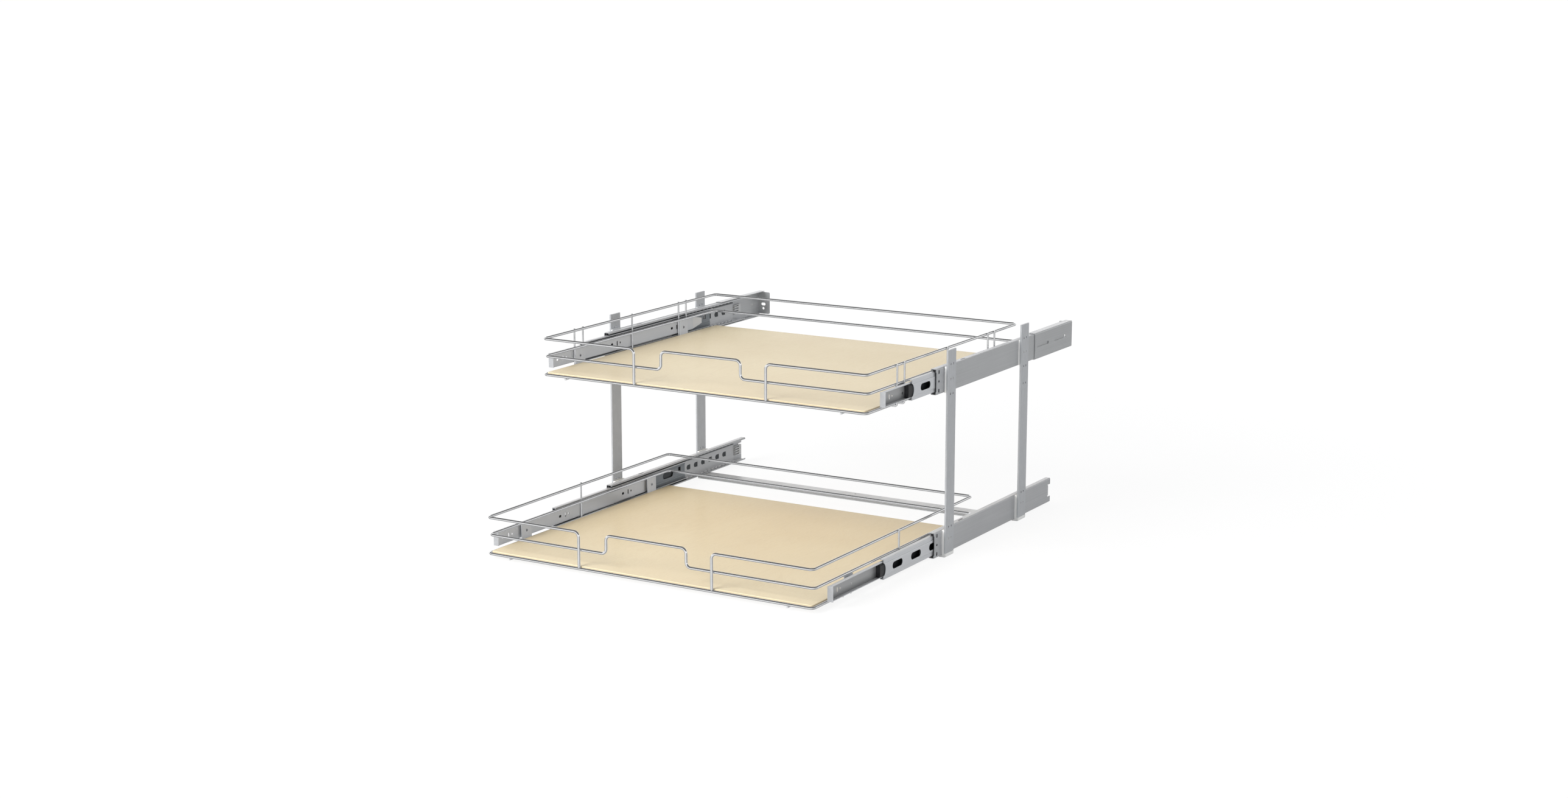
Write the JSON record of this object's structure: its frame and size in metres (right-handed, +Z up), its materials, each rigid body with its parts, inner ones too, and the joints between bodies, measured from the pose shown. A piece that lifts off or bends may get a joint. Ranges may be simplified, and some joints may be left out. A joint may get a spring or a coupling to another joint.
{
  "type": "two-tier pull-out cabinet organizer",
  "caption": "Pull-out organizer for a kitchen cabinet: wire baskets with wood floors on ball-bearing slides, in a floor-standing frame of perforated uprights with rear brackets.",
  "frame": {"origin": "the cabinet floor under the middle of the four uprights", "axes": "+Z up, +Y into the cabinet, so the baskets pull out towards -Y, +X to the right seen from the front"},
  "size_m": [0.692, 0.9204, 0.3598],
  "materials": {
    "chrome_wire": "bright chrome plating on bent wire",
    "slide_steel": "zinc-plated rolled steel, faint drawing lines along the slide",
    "plated_steel": "zinc-plated pressed steel, satin",
    "upright_steel": "pale galvanised strip, satin",
    "cage_steel": "thin plated strip, satin",
    "ball_steel": "polished bearing steel",
    "rivet_steel": "bright plated rivets",
    "white_plastic": "near-white moulded plastic",
    "grey_plastic": "light grey moulded plastic",
    "black_plastic": "black moulded plastic",
    "wood_panel": "pale birch plywood, clear satin lacquer"
  },
  "bodies": {
    "frame": {"floor_bar_front": "plated_steel", "floor_bar_rear": "plated_steel", "foot_front_left": "white_plastic", "foot_front_right": "white_plastic", "foot_rear_left": "white_plastic", "foot_rear_right": "white_plastic", "lower_outer_member_left": "slide_steel", "lower_outer_member_right": "slide_steel", "slide_mouth_plugs": "black_plastic", "slide_rear_balls": "ball_steel", "slide_rear_stops": "grey_plastic", "slide_rear_strips": "cage_steel", "spacer_pads": "white_plastic", "upper_outer_member_left": "slide_steel", "upper_outer_member_right": "slide_steel", "upper_rail_left": "plated_steel", "upper_rail_right": "plated_steel", "upright_front_left": "upright_steel", "upright_front_right": "upright_steel", "upright_rear_left": "upright_steel", "upright_rear_right": "upright_steel", "upright_rivets": "rivet_steel"},
    "rear_bracket_left": {"rear_bracket_left": "plated_steel"},
    "rear_bracket_right": {"rear_bracket_right": "plated_steel"},
    "lower_middle_slides": {"lower_front_guides": "black_plastic", "lower_middle_member_left": "slide_steel", "lower_middle_member_right": "slide_steel"},
    "lower_basket": {"lower_bottom_rim": "chrome_wire", "lower_floor_panel": "wood_panel", "lower_floor_wires": "chrome_wire", "lower_inner_member_left": "slide_steel", "lower_inner_member_right": "slide_steel", "lower_middle_rim": "chrome_wire", "lower_slide_plates": "plated_steel", "lower_slide_rivets": "rivet_steel", "lower_top_rim": "chrome_wire"},
    "lower_outer_cages": {"lower_outer_balls": "ball_steel", "lower_outer_cage_left": "cage_steel", "lower_outer_cage_right": "cage_steel"},
    "lower_inner_cages": {"lower_inner_balls": "ball_steel", "lower_inner_cage_left": "cage_steel", "lower_inner_cage_right": "cage_steel"},
    "upper_middle_slides": {"upper_front_guides": "black_plastic", "upper_middle_member_left": "slide_steel", "upper_middle_member_right": "slide_steel"},
    "upper_basket": {"upper_bottom_rim": "chrome_wire", "upper_floor_panel": "wood_panel", "upper_floor_wires": "chrome_wire", "upper_inner_member_left": "slide_steel", "upper_inner_member_right": "slide_steel", "upper_middle_rim": "chrome_wire", "upper_slide_plates": "plated_steel", "upper_slide_rivets": "rivet_steel", "upper_top_rim": "chrome_wire"},
    "upper_outer_cages": {"upper_outer_balls": "ball_steel", "upper_outer_cage_left": "cage_steel", "upper_outer_cage_right": "cage_steel"},
    "upper_inner_cages": {"upper_inner_balls": "ball_steel", "upper_inner_cage_left": "cage_steel", "upper_inner_cage_right": "cage_steel"}
  },
  "joints": [
    {"name": "lower_basket_slide", "type": "slide", "parent": "frame", "child": "lower_basket", "axis": [0, -1, 0], "range_m": [-0.33, 0.127]},
    {"name": "upper_basket_slide", "type": "slide", "parent": "frame", "child": "upper_basket", "axis": [0, -1, 0], "range_m": [-0.1617, 0.2953]},
    {"name": "lower_middle_slides_slide", "type": "slide", "parent": "frame", "child": "lower_middle_slides", "axis": [0, -1, 0], "range_m": [-0.18151, 0.06986]},
    {"name": "lower_outer_cages_slide", "type": "slide", "parent": "frame", "child": "lower_outer_cages", "axis": [0, -1, 0], "range_m": [-0.09076, 0.03494]},
    {"name": "lower_inner_cages_slide", "type": "slide", "parent": "frame", "child": "lower_inner_cages", "axis": [0, -1, 0], "range_m": [-0.25576, 0.09843]},
    {"name": "upper_middle_slides_slide", "type": "slide", "parent": "frame", "child": "upper_middle_slides", "axis": [0, -1, 0], "range_m": [-0.08894, 0.16243]},
    {"name": "upper_outer_cages_slide", "type": "slide", "parent": "frame", "child": "upper_outer_cages", "axis": [0, -1, 0], "range_m": [-0.04448, 0.08122]},
    {"name": "upper_inner_cages_slide", "type": "slide", "parent": "frame", "child": "upper_inner_cages", "axis": [0, -1, 0], "range_m": [-0.12533, 0.22887]},
    {"name": "rear_bracket_left_slide", "type": "slide", "parent": "frame", "child": "rear_bracket_left", "axis": [0, 1, 0], "range_m": [-0.028, 0.04]},
    {"name": "rear_bracket_right_slide", "type": "slide", "parent": "frame", "child": "rear_bracket_right", "axis": [0, 1, 0], "range_m": [-0.028, 0.04]}
  ],
  "couplings": [
    {"joint": "lower_middle_slides_slide", "follows": "lower_basket_slide", "ratio": 0.55},
    {"joint": "lower_outer_cages_slide", "follows": "lower_basket_slide", "ratio": 0.275},
    {"joint": "lower_inner_cages_slide", "follows": "lower_basket_slide", "ratio": 0.775},
    {"joint": "upper_middle_slides_slide", "follows": "upper_basket_slide", "ratio": 0.55},
    {"joint": "upper_outer_cages_slide", "follows": "upper_basket_slide", "ratio": 0.275},
    {"joint": "upper_inner_cages_slide", "follows": "upper_basket_slide", "ratio": 0.775}
  ]
}
